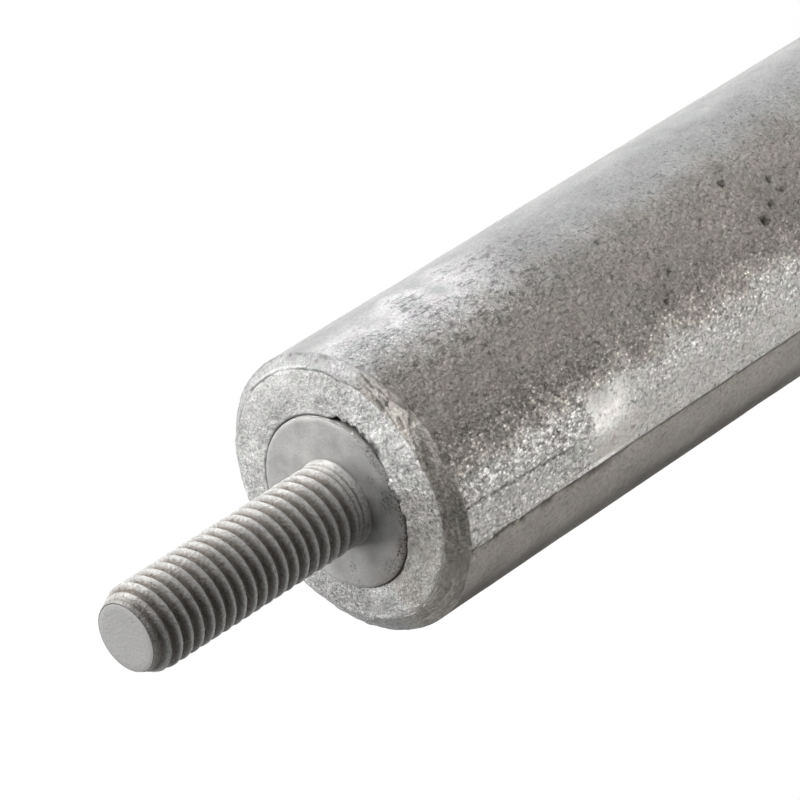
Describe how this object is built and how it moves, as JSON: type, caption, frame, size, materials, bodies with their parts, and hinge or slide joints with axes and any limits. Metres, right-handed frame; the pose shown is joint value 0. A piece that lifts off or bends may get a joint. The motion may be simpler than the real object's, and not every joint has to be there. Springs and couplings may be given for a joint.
{
  "type": "threaded rod sacrificial anode",
  "caption": "Round cast magnesium rod anode with a flush steel collar and a threaded steel stud standing out of one trimmed end.",
  "frame": {"origin": "centre of the collar's face, where the threaded stud leaves the anode", "axes": "+Z along the rod and out of the stud's tip; the clearer mould seam lies towards -X and -Y, 135 degrees clockwise from +X seen from the tip"},
  "size_m": [0.0259, 0.0261, 0.225],
  "materials": {
    "cast_magnesium": "rough cast",
    "blasted_steel": "matte"
  },
  "bodies": {
    "root": {"magnesium_body": "cast_magnesium", "threaded_insert": "blasted_steel"}
  },
  "joints": []
}
